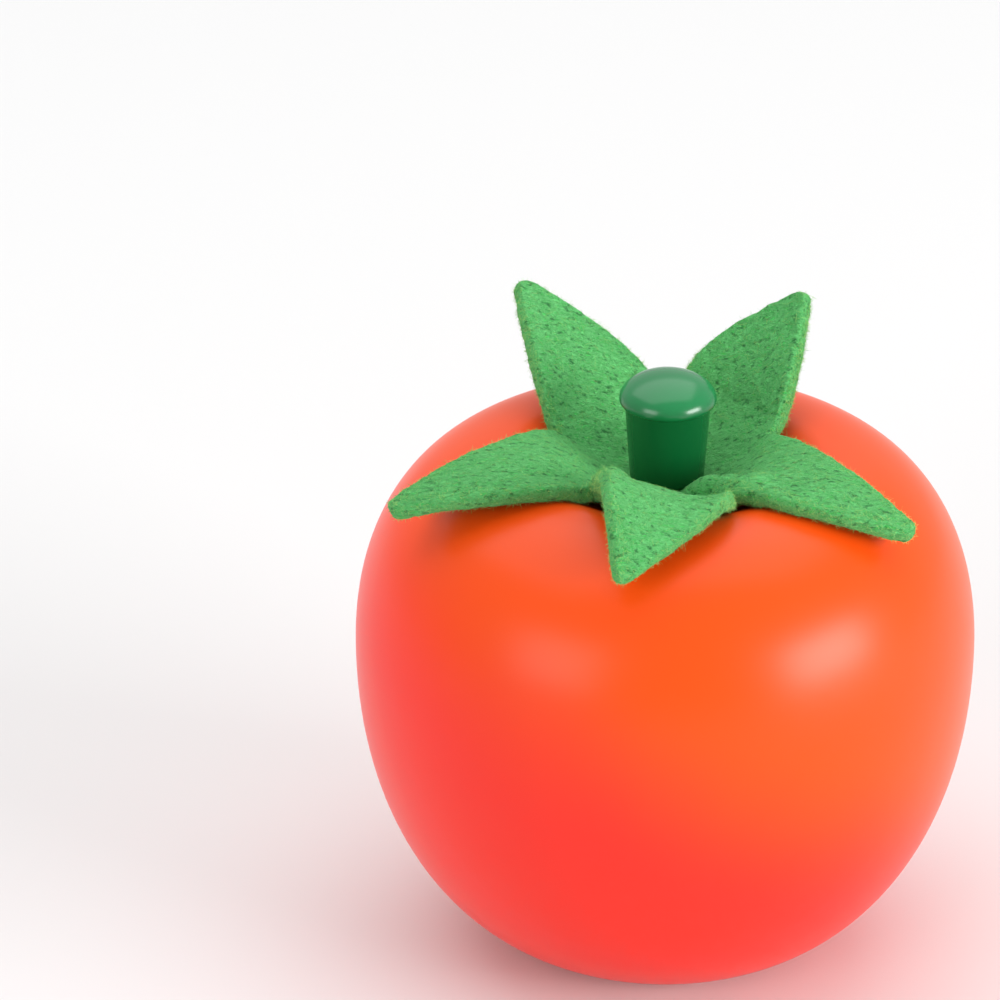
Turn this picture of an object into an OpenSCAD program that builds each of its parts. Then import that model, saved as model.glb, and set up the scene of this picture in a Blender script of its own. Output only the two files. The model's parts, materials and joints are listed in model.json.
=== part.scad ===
// Wooden play-food tomato: a turned and lacquered body, a die-cut felt calyx and a turned stem peg.
// Millimetres, +Z up. The origin is the centre of the flat that the body stands on, and -Y is the front.
// The felt is one piece on the real object. Here it is split where it bends, so that its lobes can move.

/* [Body] */
// Widest diameter of the body
body_d = 60; // [48:1:75]
// Height of the widest ring above the base
equator_h = 31.5; // [26:0.5:38]
// Height of the crest around the hollow, above the widest ring
crest_rise = 19.7; // [16:0.1:24]
// Radius of the crest around the hollow
crest_r = 15.2; // [12.5:0.1:18.5]
// Depth of the hollow below the crest
hollow_depth = 3.4; // [2.5:0.1:5]
// Radius of the hollow's flat floor
hollow_floor_r = 6.5; // [5.5:0.1:8]
// Radius of the flat that the body stands on
base_r = 9; // [6:0.5:14]

/* [Stem] */
// Diameter of the domed head
head_d = 9.3; // [7.5:0.1:11.5]
// Height of the dome above its widest ring
dome_h = 2.5; // [1.5:0.1:4]
// Height of the rounded rim under the dome's widest ring
rim_h = 0.5; // [0.3:0.1:1]
// Length of the tapered shank between rim and felt
shank_l = 7.7; // [4:0.1:12]
// How much wider the head is than the shank under it, in diameter
head_overhang = 1.1; // [0.4:0.1:2]
// How much the shank narrows from its top to its foot, in diameter
shank_taper = 1.1; // [0.5:0.1:2]
// How much wider the shank's foot is than the glued tenon, in diameter
shoulder_w = 1.2; // [0.8:0.1:2.5]
// Length of the tenon below the foot of the stem
tenon_l = 14; // [8:0.5:20]

/* [Felt calyx] */
// Thickness of the felt
felt_t = 1.6; // [1:0.1:2]
// Thickness of the felt where the stem's foot squeezes it
pinch_t = 1.1; // [0.8:0.1:1.6]
// Turn of the felt star about the stem, seen from above
star_turn = -2; // [-36:1:36]
// Distance of the lobes' bend lines from the axis
bend_line_r = 9.3; // [7.5:0.1:11.5]
// How full the lobes' sides are: 1 is straight, 2 is round
lobe_fullness = 1.66; // [1:0.02:2]
// Radius of each lobe's rounded tip
tip_r = 1.2; // [0.8:0.1:2]
// Slope of the standing lobe at the back right where it leaves its bend line, in degrees
back_right_slope = 52; // [30:1:70]
// The same for the standing lobe at the back left
back_left_slope = 38; // [30:1:70]
// Radius that the standing lobes curl to
standing_bend_r = 80; // [40:1:200]
// Distance from the axis to the point that the front lobe's sides run to
front_point_r = 24.8; // [20:0.1:30]
// The same for the right lobe
right_point_r = 27.5; // [20:0.1:30]
// The same for the lobe at the back right
back_right_point_r = 21.8; // [20:0.1:30]
// The same for the lobe at the back left
back_left_point_r = 26.4; // [20:0.1:30]
// The same for the left lobe
left_point_r = 28.4; // [20:0.1:30]

/* [Fits] */
// Radial clearance of the glued tenon in its bore
glue_gap = 0.05; // [0.02:0.01:0.1]
// Depth of the bore past the tenon's end
bore_spare = 2; // [1:0.5:4]
// Clearance between felt that bends and what lies beside it
felt_gap = 0.3; // [0.2:0.05:0.6]
// Clearance between the lying lobes and the lacquer under them
lie_gap = 0.4; // [0.3:0.05:0.8]

/* [Hidden] */
$fn = 96;

curve_steps = 14; // points on each curved stretch of an outline
lobe_count = 5;
sector = 360 / lobe_count;

// Body
body_r = body_d / 2;
crest_z = equator_h + crest_rise;
floor_z = crest_z - hollow_depth;          // the hollow's floor, where the felt lies

// Stem
foot_z = floor_z + pinch_t;
shank_top_r = (head_d - head_overhang) / 2;
foot_r = shank_top_r - shank_taper / 2;
tenon_r = foot_r - shoulder_w / 2;
bore_r = tenon_r + glue_gap;
bore_end_z = foot_z - tenon_l - bore_spare;
drill_point_h = bore_r * tan(31);          // a 118 degree drill point

// Felt
knuckle_r = felt_t / 2 + 0.1;              // the felt puffs a little where it bends
knuckle_half_w = (bend_line_r - knuckle_r) * tan(sector / 2) - felt_gap / 2 / cos(sector / 2);
knuckle_end_r = norm([bend_line_r, knuckle_half_w]);
bend_line_z = hollow_z(knuckle_end_r) + (knuckle_r + felt_gap) / cos(hollow_slope(knuckle_end_r));
lobe_half_w = bend_line_r * tan(sector / 2) - 2 * felt_gap;
centre_inradius = bend_line_r - knuckle_r - felt_gap;

// A point on the cubic curve with end points a and d and handles b and c
function cubic(a, b, c, d, t) =
    pow(1 - t, 3) * a + 3 * pow(1 - t, 2) * t * b + 3 * (1 - t) * t * t * c + pow(t, 3) * d;

// The body's side below its widest ring, from the base (t = 0) up to the ring (t = 1)
function belly(t) =
    cubic([base_r, 0], [base_r + 0.47 * (body_r - base_r), 0],
          [body_r, 0.34 * equator_h], [body_r, equator_h], t);

// The body's shoulder, from its widest ring (t = 0) up to the crest (t = 1)
function shoulder(t) =
    cubic([body_r, equator_h], [body_r, equator_h + 0.64 * crest_rise],
          [crest_r + 0.56 * (body_r - crest_r), crest_z], [crest_r, crest_z], t);

// Height and slope of the hollow at a distance from the axis
function hollow_share(r) = min(max((r - hollow_floor_r) / (crest_r - hollow_floor_r), 0), 1);
function hollow_z(r) = floor_z + hollow_depth * (1 - cos(180 * hollow_share(r))) / 2;
function hollow_slope(r) =
    atan(hollow_depth * PI / 2 / (crest_r - hollow_floor_r) * sin(180 * hollow_share(r)));

// Half outline of the turned body, from the axis at the base round to the axis at the hollow
function body_outline() =
    concat(
        [[0, 0]],
        [for (i = [0 : curve_steps - 1]) belly(i / curve_steps)],
        [for (i = [0 : curve_steps]) shoulder(i / curve_steps)],
        [for (i = [1 : curve_steps])
            let (r = crest_r + (hollow_floor_r - crest_r) * i / curve_steps) [r, hollow_z(r)]],
        [[0, floor_z]]
    );

module body() {
    color([0.93, 0.22, 0.06])
    difference() {
        rotate_extrude() polygon(body_outline());
        translate([0, 0, bore_end_z]) cylinder(r = bore_r, h = floor_z - bore_end_z + 1);
        translate([0, 0, bore_end_z - drill_point_h]) cylinder(r1 = 0, r2 = bore_r, h = drill_point_h);
    }
}

// Half outline of the stem above the felt: foot, tapered shank, rounded rim and dome
function stem_outline() =
    let (ring_z = shank_l + rim_h)
    concat(
        [[0, 0], [foot_r, 0], [shank_top_r, shank_l]],
        [for (a = [15 : 15 : 90])
            [shank_top_r + head_overhang / 2 * sin(a), ring_z - rim_h * cos(a)]],
        [for (a = [6 : 6 : 90]) [head_d / 2 * cos(a), ring_z + dome_h * sin(a)]]
    );

module stem() {
    chamfer = 0.8;
    color([0.05, 0.42, 0.2]) {
        translate([0, 0, foot_z]) rotate_extrude() polygon(stem_outline());
        translate([0, 0, foot_z - tenon_l]) {
            cylinder(r1 = tenon_r - chamfer, r2 = tenon_r, h = chamfer);
            translate([0, 0, chamfer]) cylinder(r = tenon_r, h = tenon_l - chamfer + 0.01);
        }
    }
}

// The five-sided middle of the felt: squeezed under the stem's foot, then rising to the bend lines
module calyx_centre() {
    hole_r = tenon_r + glue_gap;
    flat_r = foot_r + 1.4;
    corner_r = centre_inradius / cos(sector / 2);
    rise = (corner_r + 1 - flat_r) * (bend_line_z - floor_z - felt_t / 2) / (bend_line_r - flat_r);
    color([0.2, 0.62, 0.28])
    translate([0, 0, floor_z])
    intersection() {
        rotate_extrude()
            polygon([[hole_r, 0], [flat_r, 0], [corner_r + 1, rise], [corner_r + 1, rise + felt_t],
                     [flat_r, felt_t], [foot_r + 0.6, felt_t], [foot_r, pinch_t], [hole_r, pinch_t]]);
        rotate(star_turn + sector / 2 - 90)
            cylinder(r = corner_r, h = 20, $fn = lobe_count);
    }
}

// Middle line of a lying lobe, from its bend line over the crest and down the shoulder
function lying_line() =
    let (
        lift = felt_t / 2 + lie_gap,
        top = crest_z + lift,
        run = crest_r - bend_line_r
    )
    concat(
        [for (i = [0 : 5])
            cubic([bend_line_r, bend_line_z],
                  [bend_line_r + run / 3, bend_line_z + 0.8 * (top - bend_line_z)],
                  [crest_r - run / 3, top], [crest_r, top], i / 6)],
        [for (i = [0 : curve_steps])
            let (
                t = 1 - i / curve_steps,
                along = shoulder(t - 0.01) - shoulder(t + 0.01)
            )
            shoulder(t) + lift * [-along[1], along[0]] / norm(along)]
    );

// Middle line of a standing lobe: an arc that leaves the bend line at a slope
function standing_line(slope) =
    [for (a = [slope : -1.5 : slope - 18])
        [bend_line_r + standing_bend_r * (sin(slope) - sin(a)),
         bend_line_z + standing_bend_r * (cos(a) - cos(slope))]];

// A line given the felt's thickness, half to each side
module band(line) {
    last = len(line) - 1;
    sides = [for (i = [0 : last])
        let (along = line[min(i + 1, last)] - line[max(i - 1, 0)])
        felt_t / 2 * [-along[1], along[0]] / norm(along)];
    polygon(concat(
        [for (i = [0 : last]) line[i] + sides[i]],
        [for (i = [last : -1 : 0]) line[i] - sides[i]]
    ));
}

// A lobe's outline seen from above, along +X: full sides from the bend line to a rounded tip
module lobe_outline(point_r) {
    side_steps = 8;
    length = point_r - bend_line_r;
    lean = atan(lobe_half_w * lobe_fullness / length); // how far the sides lean in near the tip
    tip_start = pow(1 - tip_r * cos(lean) / lobe_half_w, 1 / lobe_fullness);
    tip_x = bend_line_r + length * tip_start - tip_r * sin(lean);
    side = concat(
        [[bend_line_r - felt_t, lobe_half_w]],
        [for (i = [0 : side_steps])
            let (t = tip_start * i / side_steps)
            [bend_line_r + length * t, lobe_half_w * (1 - pow(t, lobe_fullness))]],
        [for (i = [3 : -1 : 0])
            let (a = (90 - lean) * i / 4) [tip_x + tip_r * cos(a), tip_r * sin(a)]]
    );
    polygon(concat(side, [for (i = [len(side) - 2 : -1 : 0]) [side[i][0], -side[i][1]]]));
}

// A lobe of felt: a band along its middle line, trimmed to the outline, with a round bead on the bend line
module lobe(place, line, point_r) {
    color([0.2, 0.62, 0.28])
    rotate(star_turn + place * sector - 90) {
        intersection() {
            rotate([90, 0, 0]) linear_extrude(2 * lobe_half_w + 2, center = true) band(line);
            linear_extrude(crest_z + 50) lobe_outline(point_r);
        }
        translate([bend_line_r, 0, bend_line_z])
        rotate([90, 0, 0]) cylinder(r = knuckle_r, h = 2 * knuckle_half_w, center = true);
    }
}

body();
stem();
calyx_centre();
lobe(0, lying_line(), front_point_r);  // lobe_front
lobe(1, lying_line(), right_point_r);  // lobe_right
lobe(2, standing_line(back_right_slope), back_right_point_r);  // lobe_back_right
lobe(3, standing_line(back_left_slope), back_left_point_r);  // lobe_back_left
lobe(4, lying_line(), left_point_r);  // lobe_left
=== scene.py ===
import json
import math
import random
from functools import partial

import bmesh
import bpy
from mathutils import Matrix, Vector, noise


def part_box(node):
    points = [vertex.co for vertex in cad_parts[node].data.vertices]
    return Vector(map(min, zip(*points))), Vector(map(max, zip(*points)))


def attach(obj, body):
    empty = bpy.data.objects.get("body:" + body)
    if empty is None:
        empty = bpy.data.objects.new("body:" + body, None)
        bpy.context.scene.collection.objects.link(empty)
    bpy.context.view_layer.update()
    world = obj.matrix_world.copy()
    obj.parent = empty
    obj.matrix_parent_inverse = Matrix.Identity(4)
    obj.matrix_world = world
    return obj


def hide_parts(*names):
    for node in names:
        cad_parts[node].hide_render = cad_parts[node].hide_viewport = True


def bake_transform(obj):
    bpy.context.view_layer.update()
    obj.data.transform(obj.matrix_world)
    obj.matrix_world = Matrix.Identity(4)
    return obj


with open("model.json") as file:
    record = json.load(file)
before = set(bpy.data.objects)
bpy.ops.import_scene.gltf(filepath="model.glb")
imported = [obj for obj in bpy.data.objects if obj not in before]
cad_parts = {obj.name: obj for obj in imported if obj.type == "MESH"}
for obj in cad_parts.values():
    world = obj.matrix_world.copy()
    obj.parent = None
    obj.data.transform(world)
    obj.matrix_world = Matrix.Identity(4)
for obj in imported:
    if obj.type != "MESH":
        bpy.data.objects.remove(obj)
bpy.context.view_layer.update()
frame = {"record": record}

# ---------------------------------------------------------------------------------------------
# The body: one piece of close-grained wood, turned on a lathe to a tomato's shape with a hollow
# crown and drilled on its axis for the stem, then sprayed with paint and a clear satin lacquer.
# Its colour is more orange on the top and the right and redder low on the left.
# ---------------------------------------------------------------------------------------------
MM = 0.001
body_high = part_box("body")[1]
body_r = body_high[0]
crest_z = body_high[2]
equator_z = 31.5 * MM
crest_r = 15.2 * MM
base_r = 9 * MM
floor_z = crest_z - 3.4 * MM
hollow_floor_r = 6.5 * MM
bore_r = 3 * MM
bore_end_z = 32.9 * MM
drill_point = 1.8 * MM
# How far the handles of the outline's curves reach, as shares of the way to the next ring.
shoulder_rise, crest_spread = 0.64, 0.56
base_spread, belly_drop = 0.47, 0.34
curve_steps, hollow_steps = 44, 26
body_turns = 176
sharp_angle = math.radians(38)
weld_distance = 1e-7


def cubic(a, b, c, d, t):
    """The point on a cubic curve with ends a and d and handles b and c."""
    return [
        (1 - t) ** 3 * p + 3 * (1 - t) ** 2 * t * q + 3 * (1 - t) * t * t * r + t**3 * s
        for p, q, r, s in zip(a, b, c, d)
    ]


def shares(count):
    """count even steps from 0 up to, but not including, 1."""
    return [i / count for i in range(count)]


def hollow_z(r):
    """Height of the crown's hollow at a distance from the axis."""
    share = min(max((r - hollow_floor_r) / (crest_r - hollow_floor_r), 0), 1)
    return floor_z + (crest_z - floor_z) * (1 - math.cos(math.pi * share)) / 2


def shoulder(t):
    """The body's shoulder, from its widest ring at t = 0 up to the crest at t = 1."""
    return cubic(
        (body_r, equator_z),
        (body_r, equator_z + shoulder_rise * (crest_z - equator_z)),
        (crest_r + crest_spread * (body_r - crest_r), crest_z),
        (crest_r, crest_z),
        t,
    )


body_outline = [(0, 0), (0.5 * base_r, 0)]
body_outline += [
    cubic((base_r, 0), (base_r + base_spread * (body_r - base_r), 0),
          (body_r, belly_drop * equator_z), (body_r, equator_z), t)
    for t in shares(curve_steps)
]
body_outline += [shoulder(t) for t in shares(curve_steps)]
body_outline += [
    (r, hollow_z(r)) for r in (crest_r + (hollow_floor_r - crest_r) * t for t in shares(hollow_steps))
]
body_outline += [(hollow_floor_r, floor_z), (bore_r, floor_z), (bore_r, bore_end_z)]
body_outline += [(0, bore_end_z - drill_point)]


def finished(name, mesh):
    """Make an object of a bmesh, in a fixed order and smooth but for its sharp edges."""
    for parts, place_of in ((mesh.verts, lambda vert: vert.co),
                            (mesh.faces, lambda face: face.calc_center_median())):
        for rank, part in enumerate(sorted(parts, key=lambda part: tuple(place_of(part)))):
            part.index = rank
        parts.sort()
    for face in mesh.faces:
        face.smooth = True
    for edge in mesh.edges:
        if len(edge.link_faces) == 2 and edge.calc_face_angle(0) > sharp_angle:
            edge.smooth = False
    data = bpy.data.meshes.new(name)
    mesh.to_mesh(data)
    mesh.free()
    piece = bpy.data.objects.new(name, data)
    bpy.context.scene.collection.objects.link(piece)
    return piece


def turned(name, outline, turns):
    """A lathe-turned piece: its half outline of (radius, height) spun about the axis."""
    mesh = bmesh.new()
    points = [mesh.verts.new((r, 0, z)) for r, z in outline]
    edges = [mesh.edges.new(pair) for pair in zip(points, points[1:])]
    bmesh.ops.spin(mesh, geom=points + edges, cent=(0, 0, 0), axis=(0, 0, 1),
                   angle=math.tau, steps=turns, use_merge=True)
    bmesh.ops.remove_doubles(mesh, verts=mesh.verts, dist=weld_distance)
    bmesh.ops.recalc_face_normals(mesh, faces=mesh.faces)
    return finished(name, mesh)


def group(name, inputs, outputs):
    """A new shader node group, with its input and output nodes."""
    tree = bpy.data.node_groups.new(name, "ShaderNodeTree")
    for socket, kind, value in inputs:
        made = tree.interface.new_socket(socket, in_out="INPUT", socket_type=kind)
        if value is not None:
            made.default_value = value
    for socket, kind in outputs:
        tree.interface.new_socket(socket, in_out="OUTPUT", socket_type=kind)
    return tree, tree.nodes.new("NodeGroupInput"), tree.nodes.new("NodeGroupOutput")


def node(tree, kind, feeds=None, **settings):
    """Add a node, set its settings, and feed its inputs with values or other nodes' outputs."""
    made = tree.nodes.new("ShaderNode" + kind)
    for key, value in settings.items():
        setattr(made, key, value)
    for socket, value in (feeds or {}).items():
        if isinstance(value, bpy.types.NodeSocket):
            tree.links.new(value, made.inputs[socket])
        else:
            made.inputs[socket].default_value = value
    return made


def maths(tree, operation, a, b=0.0, c=0.0, clamp=False):
    """The output of a Math node."""
    return node(tree, "Math", {0: a, 1: b, 2: c}, operation=operation, use_clamp=clamp).outputs[0]


def mixed(tree, share, a, b):
    """The output of a colour mix."""
    made = node(tree, "Mix", data_type="RGBA", blend_type="MIX")
    for socket, value in ((0, share), (6, a), (7, b)):
        if isinstance(value, bpy.types.NodeSocket):
            tree.links.new(value, made.inputs[socket])
        else:
            made.inputs[socket].default_value = value
    return made.outputs[2]


def in_mm(tree, centre=(0, 0, 0)):
    """A piece's own coordinates in millimetres, measured from a point given in metres."""
    place = node(tree, "TexCoord").outputs["Object"]
    offset = tuple(-1000 * c for c in centre)
    return node(tree, "Mapping", {"Vector": place, "Location": offset,
                                  "Scale": (1000, 1000, 1000)}).outputs[0]


def material(name):
    """A material with only its shader and output."""
    made = bpy.data.materials.new(name)
    made.use_nodes = True
    tree = made.node_tree
    return made, tree, tree.nodes["Principled BSDF"]


# Sprayed lacquer: a faint orange peel over a slow swell, and slightly duller patches where it
# has been handled.
lacquer, lacquer_in, lacquer_out = group(
    "sprayed lacquer",
    [("Vector", "NodeSocketVector", None), ("Roughness", "NodeSocketFloat", 0.25),
     ("Handling", "NodeSocketFloat", 0.05)],
    [("Roughness", "NodeSocketFloat"), ("Height", "NodeSocketFloat")],
)
peel = node(lacquer, "TexNoise", {"Vector": lacquer_in.outputs["Vector"], "Scale": 0.4,
                                  "Detail": 0}).outputs[0]
grain = node(lacquer, "TexNoise", {"Vector": lacquer_in.outputs["Vector"], "Scale": 0.09,
                                   "Detail": 0}).outputs[0]
handled = node(lacquer, "TexNoise", {"Vector": lacquer_in.outputs["Vector"], "Scale": 0.07,
                                     "Detail": 1, "Roughness": 0.4}).outputs[0]
dull = maths(lacquer, "MULTIPLY", maths(lacquer, "SUBTRACT", handled, 0.45),
             lacquer_in.outputs["Handling"])
lacquer.links.new(maths(lacquer, "ADD", lacquer_in.outputs["Roughness"], dull),
                  lacquer_out.inputs["Roughness"])
lacquer.links.new(maths(lacquer, "MULTIPLY_ADD", grain, 3.0, peel), lacquer_out.inputs["Height"])

tomato_paint, paint_tree, paint = material("orange to red lacquer")
place = in_mm(paint_tree, (0, 0, equator_z))
across = node(paint_tree, "SeparateXYZ", {0: place})
cloud = node(paint_tree, "TexNoise", {"Vector": place, "Scale": 0.04, "Detail": 2}).outputs[0]
# The colour is more orange higher up and to the right, and redder low on the left.
height = maths(paint_tree, "MULTIPLY_ADD", across.outputs["X"], 0.5, across.outputs["Z"])
height = maths(paint_tree, "MULTIPLY_ADD", cloud, 8.0, height)
drift = node(paint_tree, "MapRange", {"Value": height, "From Min": -8, "From Max": 13},
             interpolation_type="SMOOTHSTEP").outputs[0]
low_red = (0.94, 0.028, 0.014, 1)
high_orange = (0.94, 0.078, 0.003, 1)
paint_tree.links.new(mixed(paint_tree, drift, low_red, high_orange), paint.inputs["Base Color"])
coat = node(paint_tree, "Group", {}, node_tree=lacquer)
paint_tree.links.new(place, coat.inputs["Vector"])
coat.inputs["Roughness"].default_value = 0.32
coat.inputs["Handling"].default_value = 0.06
paint_tree.links.new(coat.outputs["Roughness"], paint.inputs["Roughness"])
paint_tree.links.new(
    node(paint_tree, "Bump", {"Height": coat.outputs["Height"], "Strength": 0.2,
                              "Distance": 0.00001}).outputs[0],
    paint.inputs["Normal"])
paint.inputs["Specular IOR Level"].default_value = 0.3

tomato_body = turned("tomato_body", body_outline, body_turns)
tomato_body.data.materials.append(tomato_paint)
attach(tomato_body, "tomato")
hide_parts("body")

# ---------------------------------------------------------------------------------------------
# The stem: a small turned peg with a domed head, a tapered shank and a tenon. It is dipped in
# dark green lacquer and glued into the body's bore, with its shank's foot holding the felt down.
# ---------------------------------------------------------------------------------------------
stem_low, stem_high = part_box("stem")
head_r = stem_high[0]
dome_h = 2.5 * MM
rim_h = 0.5 * MM
shank_l = 7.7 * MM
ring_z = stem_high[2] - dome_h
foot_z = ring_z - rim_h - shank_l
head_overhang = 0.55 * MM
shank_taper = 0.55 * MM
tenon_step = 0.6 * MM
shank_top_r = head_r - head_overhang
foot_r = shank_top_r - shank_taper
tenon_r = foot_r - tenon_step
tenon_end_z = stem_low[2]
chamfer = 0.8 * MM
foot_bevel_w, foot_bevel_h = 0.25 * MM, 0.2 * MM
stem_turns = 96

stem_outline = [
    (0, tenon_end_z), (tenon_r - chamfer, tenon_end_z), (tenon_r, tenon_end_z + chamfer),
    (tenon_r, foot_z), (foot_r - foot_bevel_w, foot_z), (foot_r, foot_z + foot_bevel_h),
]
stem_outline += [
    (foot_r + (shank_top_r - foot_r) * t, foot_z + shank_l * t) for t in (0.25, 0.5, 0.75, 0.95)
]
stem_outline += [
    (shank_top_r + (head_r - shank_top_r) * math.sin(a), ring_z - rim_h * math.cos(a))
    for a in (math.radians(5 * k) for k in range(1, 19))
]
stem_outline += [
    (head_r * math.cos(a), ring_z + dome_h * math.sin(a))
    for a in (math.radians(5 * k) for k in range(1, 18))
]
stem_outline += [(0, ring_z + dome_h)]

stem_paint, stem_tree, green = material("dark green lacquer")
place = in_mm(stem_tree)
# The shank is painted a darker green than the dome: painted shade on the shank, which stands in the
# lobes' shadow, and painted light on the dome's top.
shade = node(stem_tree, "TexNoise", {"Vector": place, "Scale": 0.35, "Detail": 3}).outputs[0]
up_stem = node(stem_tree, "SeparateXYZ", {0: place}).outputs["Z"]
tone = node(stem_tree, "MapRange", {"Value": maths(stem_tree, "MULTIPLY_ADD", shade, 0.8, up_stem),
                                    "From Min": ring_z / MM - 0.6, "From Max": ring_z / MM + 1.6},
            interpolation_type="SMOOTHSTEP").outputs[0]
stem_tree.links.new(
    mixed(stem_tree, tone, (0.0012, 0.105, 0.026, 1), (0.008, 0.21, 0.062, 1)),
    green.inputs["Base Color"])
green.inputs["Specular IOR Level"].default_value = 0.6
coat = node(stem_tree, "Group", {}, node_tree=lacquer)
stem_tree.links.new(place, coat.inputs["Vector"])
coat.inputs["Roughness"].default_value = 0.22
coat.inputs["Handling"].default_value = 0.06
stem_tree.links.new(coat.outputs["Roughness"], green.inputs["Roughness"])
stem_tree.links.new(
    node(stem_tree, "Bump", {"Height": coat.outputs["Height"], "Strength": 0.25,
                             "Distance": 0.00002}).outputs[0],
    green.inputs["Normal"])

tomato_stem = turned("tomato_stem", stem_outline, stem_turns)
tomato_stem.data.materials.append(stem_paint)
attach(tomato_stem, "tomato")
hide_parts("stem")

# ---------------------------------------------------------------------------------------------
# The calyx: one star, die-cut from needled wool felt about 1.6 mm thick, with a hole in its
# middle. The stem's foot squeezes it into the crown's hollow, and its five lobes bend where
# they leave the hollow. It is made here as its middle and five lobes that meet without a gap.
# ---------------------------------------------------------------------------------------------
joints = {j["child"]: j for j in frame["record"]["behaviour"]["joints"]}
bend = Vector(joints["lobe_front"]["pos_m"])
bend_r = bend.xy.length
bend_z = bend.z
star_bearing = math.atan2(bend.x, -bend.y)
half_sector = math.pi / 5
root_half_w = bend_r * math.tan(half_sector)
valley_r = bend_r / math.cos(half_sector)
felt_t = 1.6 * MM
edge_r = 0.4 * MM
tip_r = 1.2 * MM
hole_r = 3 * MM
squeezed_t = 1.1 * MM
pressed_r = 4.1 * MM
press_fade = 0.9 * MM
middle_slope = math.radians(30)
middle_rings, lobe_rows, lobe_columns = 44, 84, 56
tip_crowding = 1.35
spine_steps, area_steps = 120, 60
felt_weld_distance = 2e-6
# A lobe takes up its own slope over this many millimetres, and its full twist and cup after
# these shares of its length. Its middle layer lies at least this share of the felt above lacquer.
slope_fade = 3
twist_share, cup_share = 1 / 1.4, 1 / 2
# How soon the middle's height goes by the bend line and not by the distance from the axis.
flatten_rate = 1.15
rest_share = 0.62
# Needled felt's lumps: the size and reach of each, in millimetres.
LUMPS = ((2.6, 0.10), (0.9, 0.08), (0.42, 0.07))
lump_stretch = 0.65
# Blender's noise is seeded by the clock until it is given a seed.
noise.seed_set(5)

# Each lobe: its length to the point that its sides run to, how full its sides are, its slope
# just past the bend line, how fast that slope falls along it (degrees per mm, and per mm twice),
# how far it twists over its length, how far its tip sweeps and its middle bows sideways, and
# how it cups across.
LOBES = {
    "lobe_front": dict(length=19.3, full=2.3, slope=48, fall=4.75, more_fall=0.047, twist=-21,
                       sweep=-3.2, bow=2.9, cup=0.030),
    "lobe_right": dict(length=19.5, full=1.31, slope=21.6, fall=4.3, more_fall=-0.104, twist=3,
                       sweep=-4.6, bow=-10.2, cup=-0.013),
    "lobe_back_right": dict(length=15.4, full=1.86, slope=47.8, fall=0.73, more_fall=-0.095,
                            twist=0, sweep=-1.7, bow=3.6, cup=0.018),
    "lobe_back_left": dict(length=18.9, full=1.63, slope=39.8, fall=0.91, more_fall=0.016, twist=6,
                           sweep=1.0, bow=0.8, cup=0.009),
    "lobe_left": dict(length=21.2, full=1.45, slope=22.8, fall=3.51, more_fall=-0.072, twist=-1,
                      sweep=4.0, bow=8.3, cup=-0.017),
}
# Folds where the star is bunched up between two lobes. Each has its bearing from the front in
# degrees, then in millimetres its distance from the axis, its reach, and its push to the right,
# to the back and up.
FOLDS = [
    (-28, 10.8, 1.7, (0, 0, 2.3)),        # the front lobe's left root, proud of the left lobe
    (-48, 12.6, 2.0, (0, 0, -0.6)),
    (20, 7.0, 0.8, (0, 0, 0.8)),          # the pleat beside the stem's foot
    (26, 7.9, 1.0, (0, 0, 1.5)),
    (32, 8.8, 1.0, (0, 0, 1.8)),
    (38, 10.0, 1.1, (0, 0, 1.4)),
    (44, 11.8, 1.5, (0, 0, 0.8)),
    (10, 9.6, 1.9, (0, 0, -0.8)),         # and the crease in front of it
    (14, 12.2, 2.6, (0, 0, -1.6)),
    (24, 10.9, 1.5, (-0.5, 0, -1.0)),
    (34, 11.6, 1.8, (-1.7, 0.3, -0.2)),
    (106, 11.2, 2.6, (-0.9, 0, 0.3)),     # the valleys beside the standing lobes
    (-112, 10.6, 2.6, (0, 0, -0.2)),
]


def eased(t):
    """0 below t = 0, 1 above t = 1, and smooth between."""
    t = min(max(t, 0), 1)
    return t * t * (3 - 2 * t)


def folded(point):
    """The point, pushed by the folds near it."""
    moved = point.copy()
    for bearing, distance, reach, push in FOLDS:
        a = math.radians(bearing)
        centre = Vector((math.sin(a), -math.cos(a))) * distance * MM
        moved += Vector(push) * MM * math.exp(-((point.xy - centre).length / (reach * MM)) ** 2)
    return moved


def middle_height(m):
    """Height of the felt's middle layer between the stem's foot and the bend lines."""
    start_z = floor_z + squeezed_t / 2
    t = min(max((m - pressed_r) / (bend_r - pressed_r), 0), 1)
    climb = (bend_r - pressed_r) * math.tan(middle_slope)
    return start_z + (bend_z - start_z) * (3 * t * t - 2 * t**3) + climb * (t**3 - t * t)


def in_wedge(share, turn):
    """Of a point of the middle: its bearing from its lobe's own, and its distance from the axis."""
    off = (turn + half_sector) % (2 * half_sector) - half_sector
    return off, hole_r + (bend_r / math.cos(off) - hole_r) * share


def middle_point(turn, share):
    """A point of the middle: share 0 is the hole's edge and 1 the bend lines, turn is its bearing."""
    off, r = in_wedge(share, turn)
    m = r * (1 + (math.cos(off) - 1) * eased(share * flatten_rate))
    a = turn + star_bearing
    return folded(Vector((r * math.sin(a), -r * math.cos(a), middle_height(m))))


def tip_start(cut):
    """Where a lobe's rounded tip starts along it, and the lean of its sides there."""
    length = cut["length"] * MM
    lean = math.atan(root_half_w * cut["full"] / length)
    return (1 - tip_r * math.cos(lean) / root_half_w) ** (1 / cut["full"]) * length, lean


def side(cut, s):
    """Half width of a lobe at s along it, in metres, down to 0 at its rounded tip."""
    start, lean = tip_start(cut)
    if s <= start:
        return root_half_w * (1 - (max(s, 0) / (cut["length"] * MM)) ** cut["full"])
    centre = start - tip_r * math.sin(lean)
    return math.sqrt(max(tip_r**2 - (s - centre) ** 2, 0))


def tip_at(cut):
    """How far the rounded tip is from the bend line along the lobe."""
    start, lean = tip_start(cut)
    return start - tip_r * math.sin(lean) + tip_r


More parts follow.
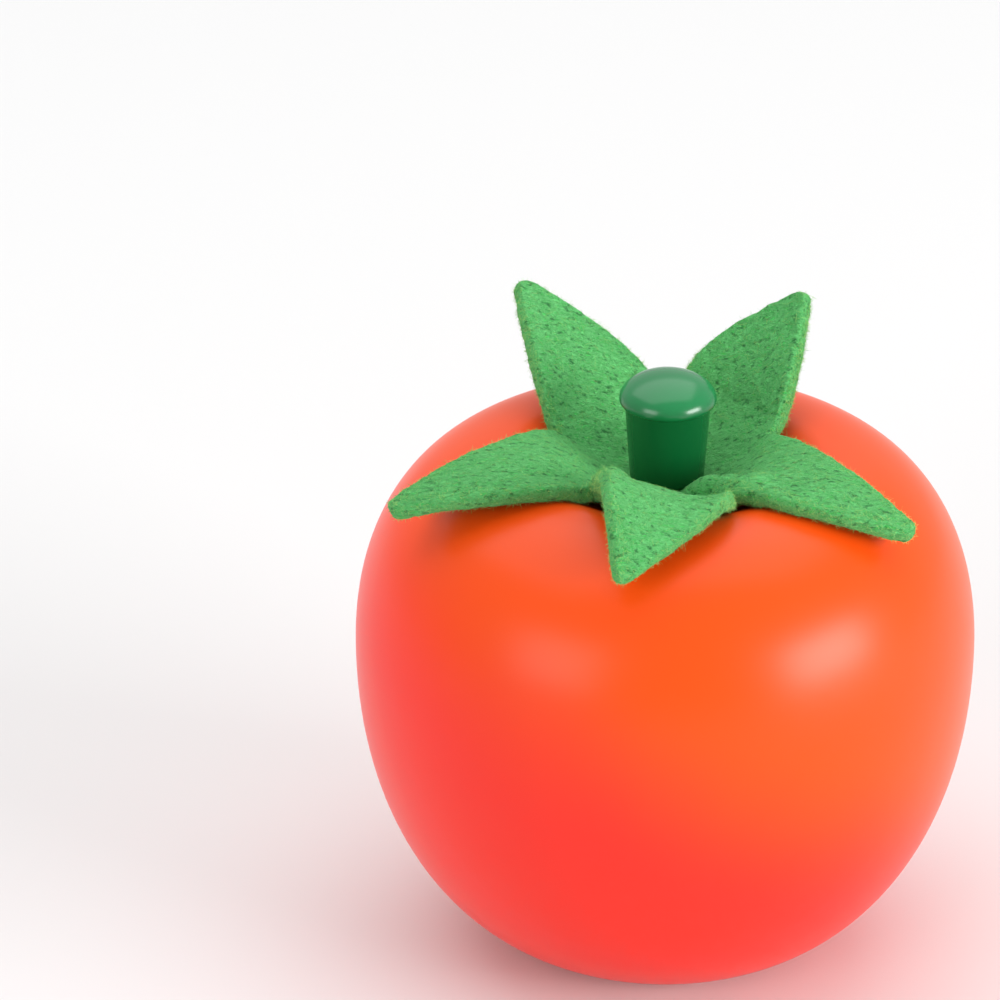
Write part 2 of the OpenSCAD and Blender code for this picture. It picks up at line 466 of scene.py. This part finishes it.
def slope_at(cut, s):
    """The lobe's slope at s along it."""
    mm = s / MM
    bent = math.radians(cut["slope"] - cut["fall"] * mm - cut["more_fall"] * mm * mm)
    return middle_slope + (bent - middle_slope) * eased(mm / slope_fade)


def spine(cut):
    """The lobe's middle line as (distance from the axis, height) at even steps along it."""
    step = tip_at(cut) / spine_steps
    line = [(bend_r, bend_z)]
    for i in range(spine_steps):
        a = slope_at(cut, (i + 0.5) * step)
        line.append((line[-1][0] + step * math.cos(a), line[-1][1] + step * math.sin(a)))
    return line


def resting(point):
    """The point, held above the lacquer by half the felt's thickness."""
    r = point.xy.length
    if r < crest_r:
        surface = hollow_z(r)
    else:
        low, high = 0.0, 1.0
        for _ in range(18):
            t = (low + high) / 2
            low, high = (t, high) if shoulder(t)[0] > r else (low, t)
        surface = shoulder(low)[1]
    least = surface + felt_t * rest_share
    return point if point.z > least else Vector((point.x, point.y, least))


def lobe_point(cut, line, bearing, x, q):
    """A point of a lobe's middle layer: x millimetres along it and q across, from -1 to 1."""
    s = x * MM
    reach = tip_at(cut)
    at = min(max(s / reach, 0), 1) * (len(line) - 1)
    i = min(int(at), len(line) - 2)
    along = line[i][0] + (line[i + 1][0] - line[i][0]) * (at - i)
    up = line[i][1] + (line[i + 1][1] - line[i][1]) * (at - i)
    v = q * side(cut, s)
    share = s / reach
    twist = math.radians(cut["twist"]) * eased(share / twist_share)
    bow = cut["cup"] / MM * v * v * eased(share / cup_share)
    rise = v * math.sin(twist) + bow
    a = slope_at(cut, s)
    along -= rise * math.sin(a)
    up += rise * math.cos(a)
    v = v * math.cos(twist) + (cut["sweep"] * share + cut["bow"] * (1 - share)) * MM * share
    radial = Vector((math.sin(bearing), -math.cos(bearing), 0))
    tangent = Vector((math.cos(bearing), math.sin(bearing), 0))
    return resting(folded(radial * along + tangent * v + Vector((0, 0, up))))


def crowded(p):
    """Even steps from -1 to 1, drawn towards both ends where the cut edge is rounded."""
    return p * (1.5 - 0.5 * p * p)


def thickness(distance, pinch=1.0):
    """Half the felt's thickness at a distance from its cut edge."""
    t = min(distance / edge_r, 1)
    return felt_t / 2 * pinch * math.sqrt(max(1 - (1 - t) ** 2, 0))


def lumpy(point):
    """The point, moved a little as needled felt is lumpy, more finely across its fibres."""
    moved = point.copy()
    for size, reach in LUMPS:
        grainy = Vector((point.x * lump_stretch, point.y, point.z)) / (size * MM)
        moved += noise.noise_vector(grainy) * reach * MM
    return moved


def felt_piece(name, mesh, surface, half_thickness):
    """Bend a flat grid of (x, y) shares into felt: its surface, two faces, cut edge and lumps."""
    step = 1e-3
    raised = bmesh.ops.extrude_face_region(mesh, geom=mesh.faces[:])["geom"]
    tops = [part for part in raised if isinstance(part, bmesh.types.BMVert)]
    bmesh.ops.translate(mesh, verts=tops, vec=(0, 0, 1))
    found = {}
    for vert in mesh.verts:
        x, y = vert.co.xy
        if (x, y) not in found:
            slant = (surface(x + step, y) - surface(x - step, y)).cross(
                surface(x, y + step) - surface(x, y - step))
            if slant.length < 1e-16:
                slant = Vector((0, 0, 1))
            found[x, y] = (surface(x, y), slant.normalized() * half_thickness(x, y))
        middle, lift = found[x, y]
        vert.co = lumpy(middle + lift if vert.co.z > 0.5 else middle - lift)
    bmesh.ops.remove_doubles(mesh, verts=mesh.verts, dist=felt_weld_distance)
    bmesh.ops.dissolve_degenerate(mesh, edges=mesh.edges, dist=weld_distance)
    bmesh.ops.recalc_face_normals(mesh, faces=mesh.faces)
    return finished(name, mesh)


# Fine fibres in the felt: soft strands that mostly run the way the wool was carded, and pits where
# the needles went through, which the felt's colour darkens as painted shade.
strands, strands_in, strands_out = group(
    "felt strands",
    [("Vector", "NodeSocketVector", None), ("Scale", "NodeSocketFloat", 1.0)],
    [("Strands", "NodeSocketFloat"), ("Shaded pits", "NodeSocketFloat")],
)
woven = None
for turn, seed in ((-0.7, 0), (0.1, 17), (0.9, 41)):
    laid = node(strands, "Mapping", {"Vector": strands_in.outputs["Vector"],
                                     "Location": (seed, seed, seed), "Rotation": (0, 0.2, turn),
                                     "Scale": (0.75, 2.5, 2.5)}).outputs[0]
    wisp = node(strands, "TexNoise", {"Vector": laid, "Scale": strands_in.outputs["Scale"],
                                      "Detail": 3, "Roughness": 0.6, "Distortion": 0.6}).outputs[0]
    ridge = maths(strands, "ABSOLUTE", maths(strands, "MULTIPLY_ADD", wisp, 2.0, -1.0))
    ridge = maths(strands, "SUBTRACT", 1.0, maths(strands, "MULTIPLY", ridge, 8.0), clamp=True)
    woven = ridge if woven is None else maths(strands, "MAXIMUM", woven, ridge)
strands.links.new(woven, strands_out.inputs["Strands"])
pit_place = node(strands, "Mapping", {"Vector": strands_in.outputs["Vector"],
                                      "Rotation": (0, 0, 0.2), "Scale": (0.8, 1.3, 1.3)}).outputs[0]
pit_noise = node(strands, "TexNoise", {"Vector": pit_place, "Scale": 1.5,
                                       "Detail": 3, "Roughness": 0.6}).outputs[0]
strands.links.new(node(strands, "MapRange", {"Value": pit_noise, "From Min": 0.44,
                                             "From Max": 0.30}).outputs[0],
                  strands_out.inputs["Shaded pits"])

felt_green, felt_tree, felt = material("needled green felt")
place = in_mm(felt_tree)
laid = node(felt_tree, "Group", {}, node_tree=strands)
felt_tree.links.new(place, laid.inputs["Vector"])
blotch = node(felt_tree, "TexNoise", {"Vector": place, "Scale": 0.45, "Detail": 3}).outputs[0]
colour = mixed(felt_tree, blotch, (0.050, 0.44, 0.082, 1), (0.090, 0.57, 0.126, 1))
colour = mixed(felt_tree, maths(felt_tree, "MULTIPLY", laid.outputs["Strands"], 0.55),
               colour, (0.22, 0.75, 0.27, 1))
# The pits are painted a dark green: painted shade in the needle holes.
colour = mixed(felt_tree, maths(felt_tree, "MULTIPLY", laid.outputs["Shaded pits"], 0.85),
               colour, (0.008, 0.17, 0.035, 1))
felt_tree.links.new(colour, felt.inputs["Base Color"])
felt.inputs["Roughness"].default_value = 0.95
felt.inputs["Specular IOR Level"].default_value = 0.2
felt.inputs["Sheen Weight"].default_value = 0.15
felt.inputs["Sheen Roughness"].default_value = 0.6
felt.inputs["Sheen Tint"].default_value = (0.7, 1.0, 0.6, 1)
relief = maths(felt_tree, "SUBTRACT", laid.outputs["Strands"],
               maths(felt_tree, "MULTIPLY", laid.outputs["Shaded pits"], 1.5))
felt_tree.links.new(node(felt_tree, "Bump", {"Height": relief, "Strength": 0.9,
                                             "Distance": 0.00012}).outputs[0],
                    felt.inputs["Normal"])

loose_green, loose_tree, loose = material("loose felt fibres")
shade = node(loose_tree, "Attribute", attribute_name="fibre_shade").outputs["Fac"]
# Each fibre has a random tone of its own. The palest tones are kept for fibres at the cut edge and are
# painted light, for the pale halo of lit fuzz.
loose_tree.links.new(mixed(loose_tree, shade, (0.070, 0.42, 0.09, 1), (0.52, 0.82, 0.26, 1)),
                     loose.inputs["Base Color"])
loose.inputs["Roughness"].default_value = 0.9
loose.inputs["Specular IOR Level"].default_value = 0.2

fibre_r = 0.017 * MM
# How steeply fibres stand off the faces and the cut edge, and their lengths in millimetres.
FACE_FIBRES = (0.16, (0.4, 1.1))
EDGE_FIBRES = (0.9, (0.22, 0.62))
# How many there are on the faces and the cut edge, and how wide a band counts as edge.
MIDDLE_FIBRES = (1500, 260)
LOBE_FIBRES = (1700, 2100)
valley_band = 0.5 * MM
edge_band = 0.8 * MM
edge_stretch = 1.12
fibre_sink = 0.03
fibre_droop = 0.45


def loose_fibres(name, felt_object, count, edge_count, is_edge):
    """Fibres that stand off the felt: most lie along its faces, and more stick out at its cut edge."""
    dice = random.Random(name)
    data = felt_object.data
    data.calc_loop_triangles()
    faces, rims = [], []
    for triangle in data.loop_triangles:
        corners = [data.vertices[i].co for i in triangle.vertices]
        (rims if is_edge(sum(corners, Vector()) / 3) else faces).append(
            (triangle.area, corners, triangle.normal))
    curve = bpy.data.curves.new(name, "CURVE")
    curve.dimensions = "3D"
    curve.bevel_depth = fibre_r
    curve.bevel_resolution = 0
    shades = []
    for pool, number, (lift, reach) in ((faces, count, FACE_FIBRES), (rims, edge_count, EDGE_FIBRES)):
        picked = dice.choices(pool, weights=[p[0] for p in pool], k=number)
        for _, (a, b, c), normal in picked:
            u, v = dice.random(), dice.random()
            if u + v > 1:
                u, v = 1 - u, 1 - v
            root = a + (b - a) * u + (c - a) * v
            flat = normal.orthogonal().normalized()
            flat.rotate(Matrix.Rotation(dice.uniform(0, math.tau), 3, normal))
            aim = (flat + normal * lift * dice.uniform(0.3, 1.3)).normalized()
            droop = (normal * dice.uniform(-0.9, 0.2) + normal.cross(flat) * dice.uniform(-0.8, 0.8))
            length = dice.uniform(*reach) * MM
            spline = curve.splines.new("POLY")
            spline.points.add(3)
            for k in range(4):
                t = k / 3
                at = root - normal * fibre_sink * MM + aim * length * t
                at += droop * length * fibre_droop * t * t
                spline.points[k].co = (*at, 1)
                spline.points[k].radius = 1.0 - 0.75 * t
            # Fibres at the cut edge reach paler tones than those on the faces: painted light along the
            # felt's edge.
            shades.append(dice.random() * (1.0 if pool is rims else 0.75))
    shape = bpy.data.objects.new(name, curve)
    mesh = bpy.data.meshes.new_from_object(shape)
    bpy.data.objects.remove(shape)
    bpy.data.curves.remove(curve)
    tone = mesh.attributes.new("fibre_shade", "FLOAT", "POINT")
    each = len(mesh.vertices) // len(shades)
    tone.data.foreach_set("value", [shades[i // each] for i in range(len(mesh.vertices))])
    for polygon in mesh.polygons:
        polygon.use_smooth = True
    mesh.materials.append(loose_green)
    piece = bpy.data.objects.new(name, mesh)
    bpy.context.scene.collection.objects.link(piece)
    return piece


# The middle: five wedges of the star round the stem's foot.
ring = bmesh.new()
points = [ring.verts.new((1 + i / middle_rings, 0, 0)) for i in range(middle_rings + 1)]
spokes = [ring.edges.new(pair) for pair in zip(points, points[1:])]
bmesh.ops.spin(ring, geom=points + spokes, cent=(0, 0, 0), axis=(0, 0, 1),
               angle=math.tau, steps=5 * lobe_columns, use_merge=True)
for vert in ring.verts:
    column = round(math.atan2(vert.co.y, vert.co.x) / math.tau * 5 * lobe_columns)
    wedge, across = divmod(column + lobe_columns // 2, lobe_columns)
    off = math.atan(crowded(2 * across / lobe_columns - 1) * math.tan(half_sector))
    vert.co = (off + 2 * half_sector * wedge, vert.co.xy.length - 1, 0)


def middle_thickness(turn, share):
    """Half the middle's thickness: thin under the stem's foot, rounded off at the valleys."""
    off, r = in_wedge(share, turn)
    to_valley = half_sector - abs(off)
    corner = Vector((valley_r - r * math.cos(to_valley), r * math.sin(to_valley)))
    pinch = 1 - (1 - squeezed_t / felt_t) * (1 - eased((r - foot_r) / press_fade))
    return thickness(min(corner.length, r - hole_r), pinch)


calyx_middle = felt_piece("calyx_middle", ring, middle_point, middle_thickness)
calyx_middle.data.materials.append(felt_green)
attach(calyx_middle, "tomato")
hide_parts("calyx_centre")
middle_fibres = loose_fibres("calyx_middle_fibres", calyx_middle, *MIDDLE_FIBRES,
                             lambda point: point.xy.length > valley_r - valley_band)
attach(middle_fibres, "tomato")


def lobe_thickness(cut, reach, x, y):
    """Half a lobe's thickness at x millimetres along it and the share y of its half width."""
    s = x * MM
    fall = (side(cut, min(s + 1e-5, reach)) - side(cut, s - 1e-5)) / 2e-5 if s > 1e-5 else 0
    distance = side(cut, s) * (1 - abs(y)) / math.sqrt(1 + fall * fall)
    return thickness(max(min(distance, reach - s), 0))


def near_edge(cut, reach, bearing, point):
    """Whether a point of a lobe is near its cut edge."""
    along = point.x * math.sin(bearing) - point.y * math.cos(bearing) - bend_r
    lean = cut["sweep"] * along + cut["bow"] * (reach - along)
    sideways = abs(point.x * math.cos(bearing) + point.y * math.sin(bearing)
                   - lean * MM * along / reach**2)
    return sideways > side(cut, min(max(along, 0) * edge_stretch, reach)) - edge_band


# The lobes: each bends where it leaves the middle, three lie over the crest and two stand up.
for name, cut in LOBES.items():
    pivot = Vector(joints[name]["pos_m"])
    bearing = math.atan2(pivot.x, -pivot.y)
    line = spine(cut)
    reach = tip_at(cut)
    grid = bmesh.new()
    bmesh.ops.create_grid(grid, x_segments=lobe_rows, y_segments=lobe_columns, size=1)
    for vert in grid.verts:
        t = (vert.co.x + 1) / 2
        vert.co = (reach / MM * (1 - (1 - t) ** tip_crowding), crowded(vert.co.y), 0)
    piece = felt_piece(name + "_felt", grid, partial(lobe_point, cut, line, bearing),
                       partial(lobe_thickness, cut, reach))
    piece.data.materials.append(felt_green)
    fibres = loose_fibres(name + "_fibres", piece, *LOBE_FIBRES,
                          partial(near_edge, cut, reach, bearing))
    for cloth in (piece, fibres):
        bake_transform(cloth)
    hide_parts(name)

# ---------------------------------------------------------------------------------------------
# The studio table: a pale sheet to stand on, a bright surround, and soft boxes to the
# right, the left and overhead.
# ---------------------------------------------------------------------------------------------
floor_mesh = bmesh.new()
bmesh.ops.create_grid(floor_mesh, x_segments=1, y_segments=1, size=6)
floor = finished("floor", floor_mesh)
paper, _, pale = material("pale paper")
pale.inputs["Base Color"].default_value = (0.82, 0.82, 0.82, 1)
pale.inputs["Roughness"].default_value = 0.9
pale.inputs["Specular IOR Level"].default_value = 0.1
floor.data.materials.append(paper)

world = bpy.data.worlds.new("surround")
bpy.context.scene.world = world
world.use_nodes = True
sky = world.node_tree
background = sky.nodes["Background"]
facing = node(sky, "SeparateXYZ", {0: node(sky, "TexCoord").outputs["Generated"]}).outputs["Y"]
sky.links.new(
    node(sky, "MapRange", {"Value": facing, "From Min": -1, "From Max": 0.8,
                           "To Min": 0.42, "To Max": 0.7}).outputs[0],
    background.inputs["Strength"])
background.inputs["Color"].default_value = (1, 1, 1, 1)

centre = Vector((0, 0, equator_z))
SOFT_BOXES = [
    # name, direction from the tomato, distance, width, height, brightness
    ("right box", (0.866, -0.44, 0.235), 1.10, 0.64, 0.38, 13.0),
    ("left box", (-0.62, -0.708, 0.308), 1.10, 0.60, 0.48, 3.6),
    ("overhead box", (-0.1, 0.35, 1.0), 0.60, 0.90, 0.70, 1.2),
]
for name, direction, distance, width, tall, bright in SOFT_BOXES:
    lamp = bpy.data.lights.new(name, "AREA")
    lamp.shape = "RECTANGLE"
    lamp.size, lamp.size_y = width, tall
    lamp.energy = bright * math.pi * width * tall
    box = bpy.data.objects.new(name, lamp)
    aim = Vector(direction).normalized()
    box.location = centre + aim * distance
    box.rotation_euler = aim.to_track_quat("Z", "Y").to_euler()
    bpy.context.scene.collection.objects.link(box)

elevation = math.radians(28)
camera_distance = 0.6
back = Vector((0, -math.cos(elevation), math.sin(elevation)))
up = Vector((0, math.sin(elevation), math.cos(elevation)))
lens_mm = 222.3
sensor_mm = 36
# The tomato's place in the frame, as shares of its width.
right_of_middle, below_middle = 0.1665, 0.1333
view_w = camera_distance * sensor_mm / lens_mm
aim_at = centre + (Vector((-right_of_middle, 0, 0)) + up * below_middle) * view_w
camera_data = bpy.data.cameras.new("camera")
camera_data.lens = lens_mm
camera_data.sensor_width = sensor_mm
camera_data.clip_start = 0.01
camera = bpy.data.objects.new("camera", camera_data)
camera.location = centre + back * camera_distance
camera.rotation_euler = (camera.location - aim_at).to_track_quat("Z", "Y").to_euler()
bpy.context.scene.collection.objects.link(camera)
bpy.context.scene.camera = camera
bpy.context.scene.view_settings.view_transform = "Standard"
